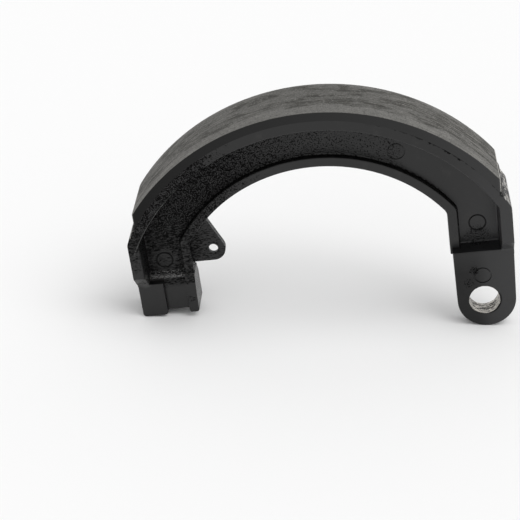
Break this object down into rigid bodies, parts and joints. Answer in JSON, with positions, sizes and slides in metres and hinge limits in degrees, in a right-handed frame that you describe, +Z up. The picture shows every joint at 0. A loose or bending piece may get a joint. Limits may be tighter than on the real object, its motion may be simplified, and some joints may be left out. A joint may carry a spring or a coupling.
{
  "type": "brake shoe",
  "caption": "Curved drum brake shoe: a die-cast arch with a bonded friction lining, a lapped pivot eye, a spring tab and a grooved cam end.",
  "frame": {"origin": "centre of the pivot bore, half way along its wall; the shoe stands upright on its eye and its cam end, 9.9 mm below", "axes": "+Z up, +X from the cam end towards the pivot, Y along the pivot bore and the drum's axis, side A facing -Y"},
  "size_m": [0.1289, 0.024, 0.0783],
  "materials": {
    "black_coated_casting": "satin black coating over an as-cast surface",
    "friction_material": "ground friction composite"
  },
  "bodies": {
    "root": {"shoe_casting": "black_coated_casting", "friction_lining": "friction_material"}
  },
  "joints": []
}
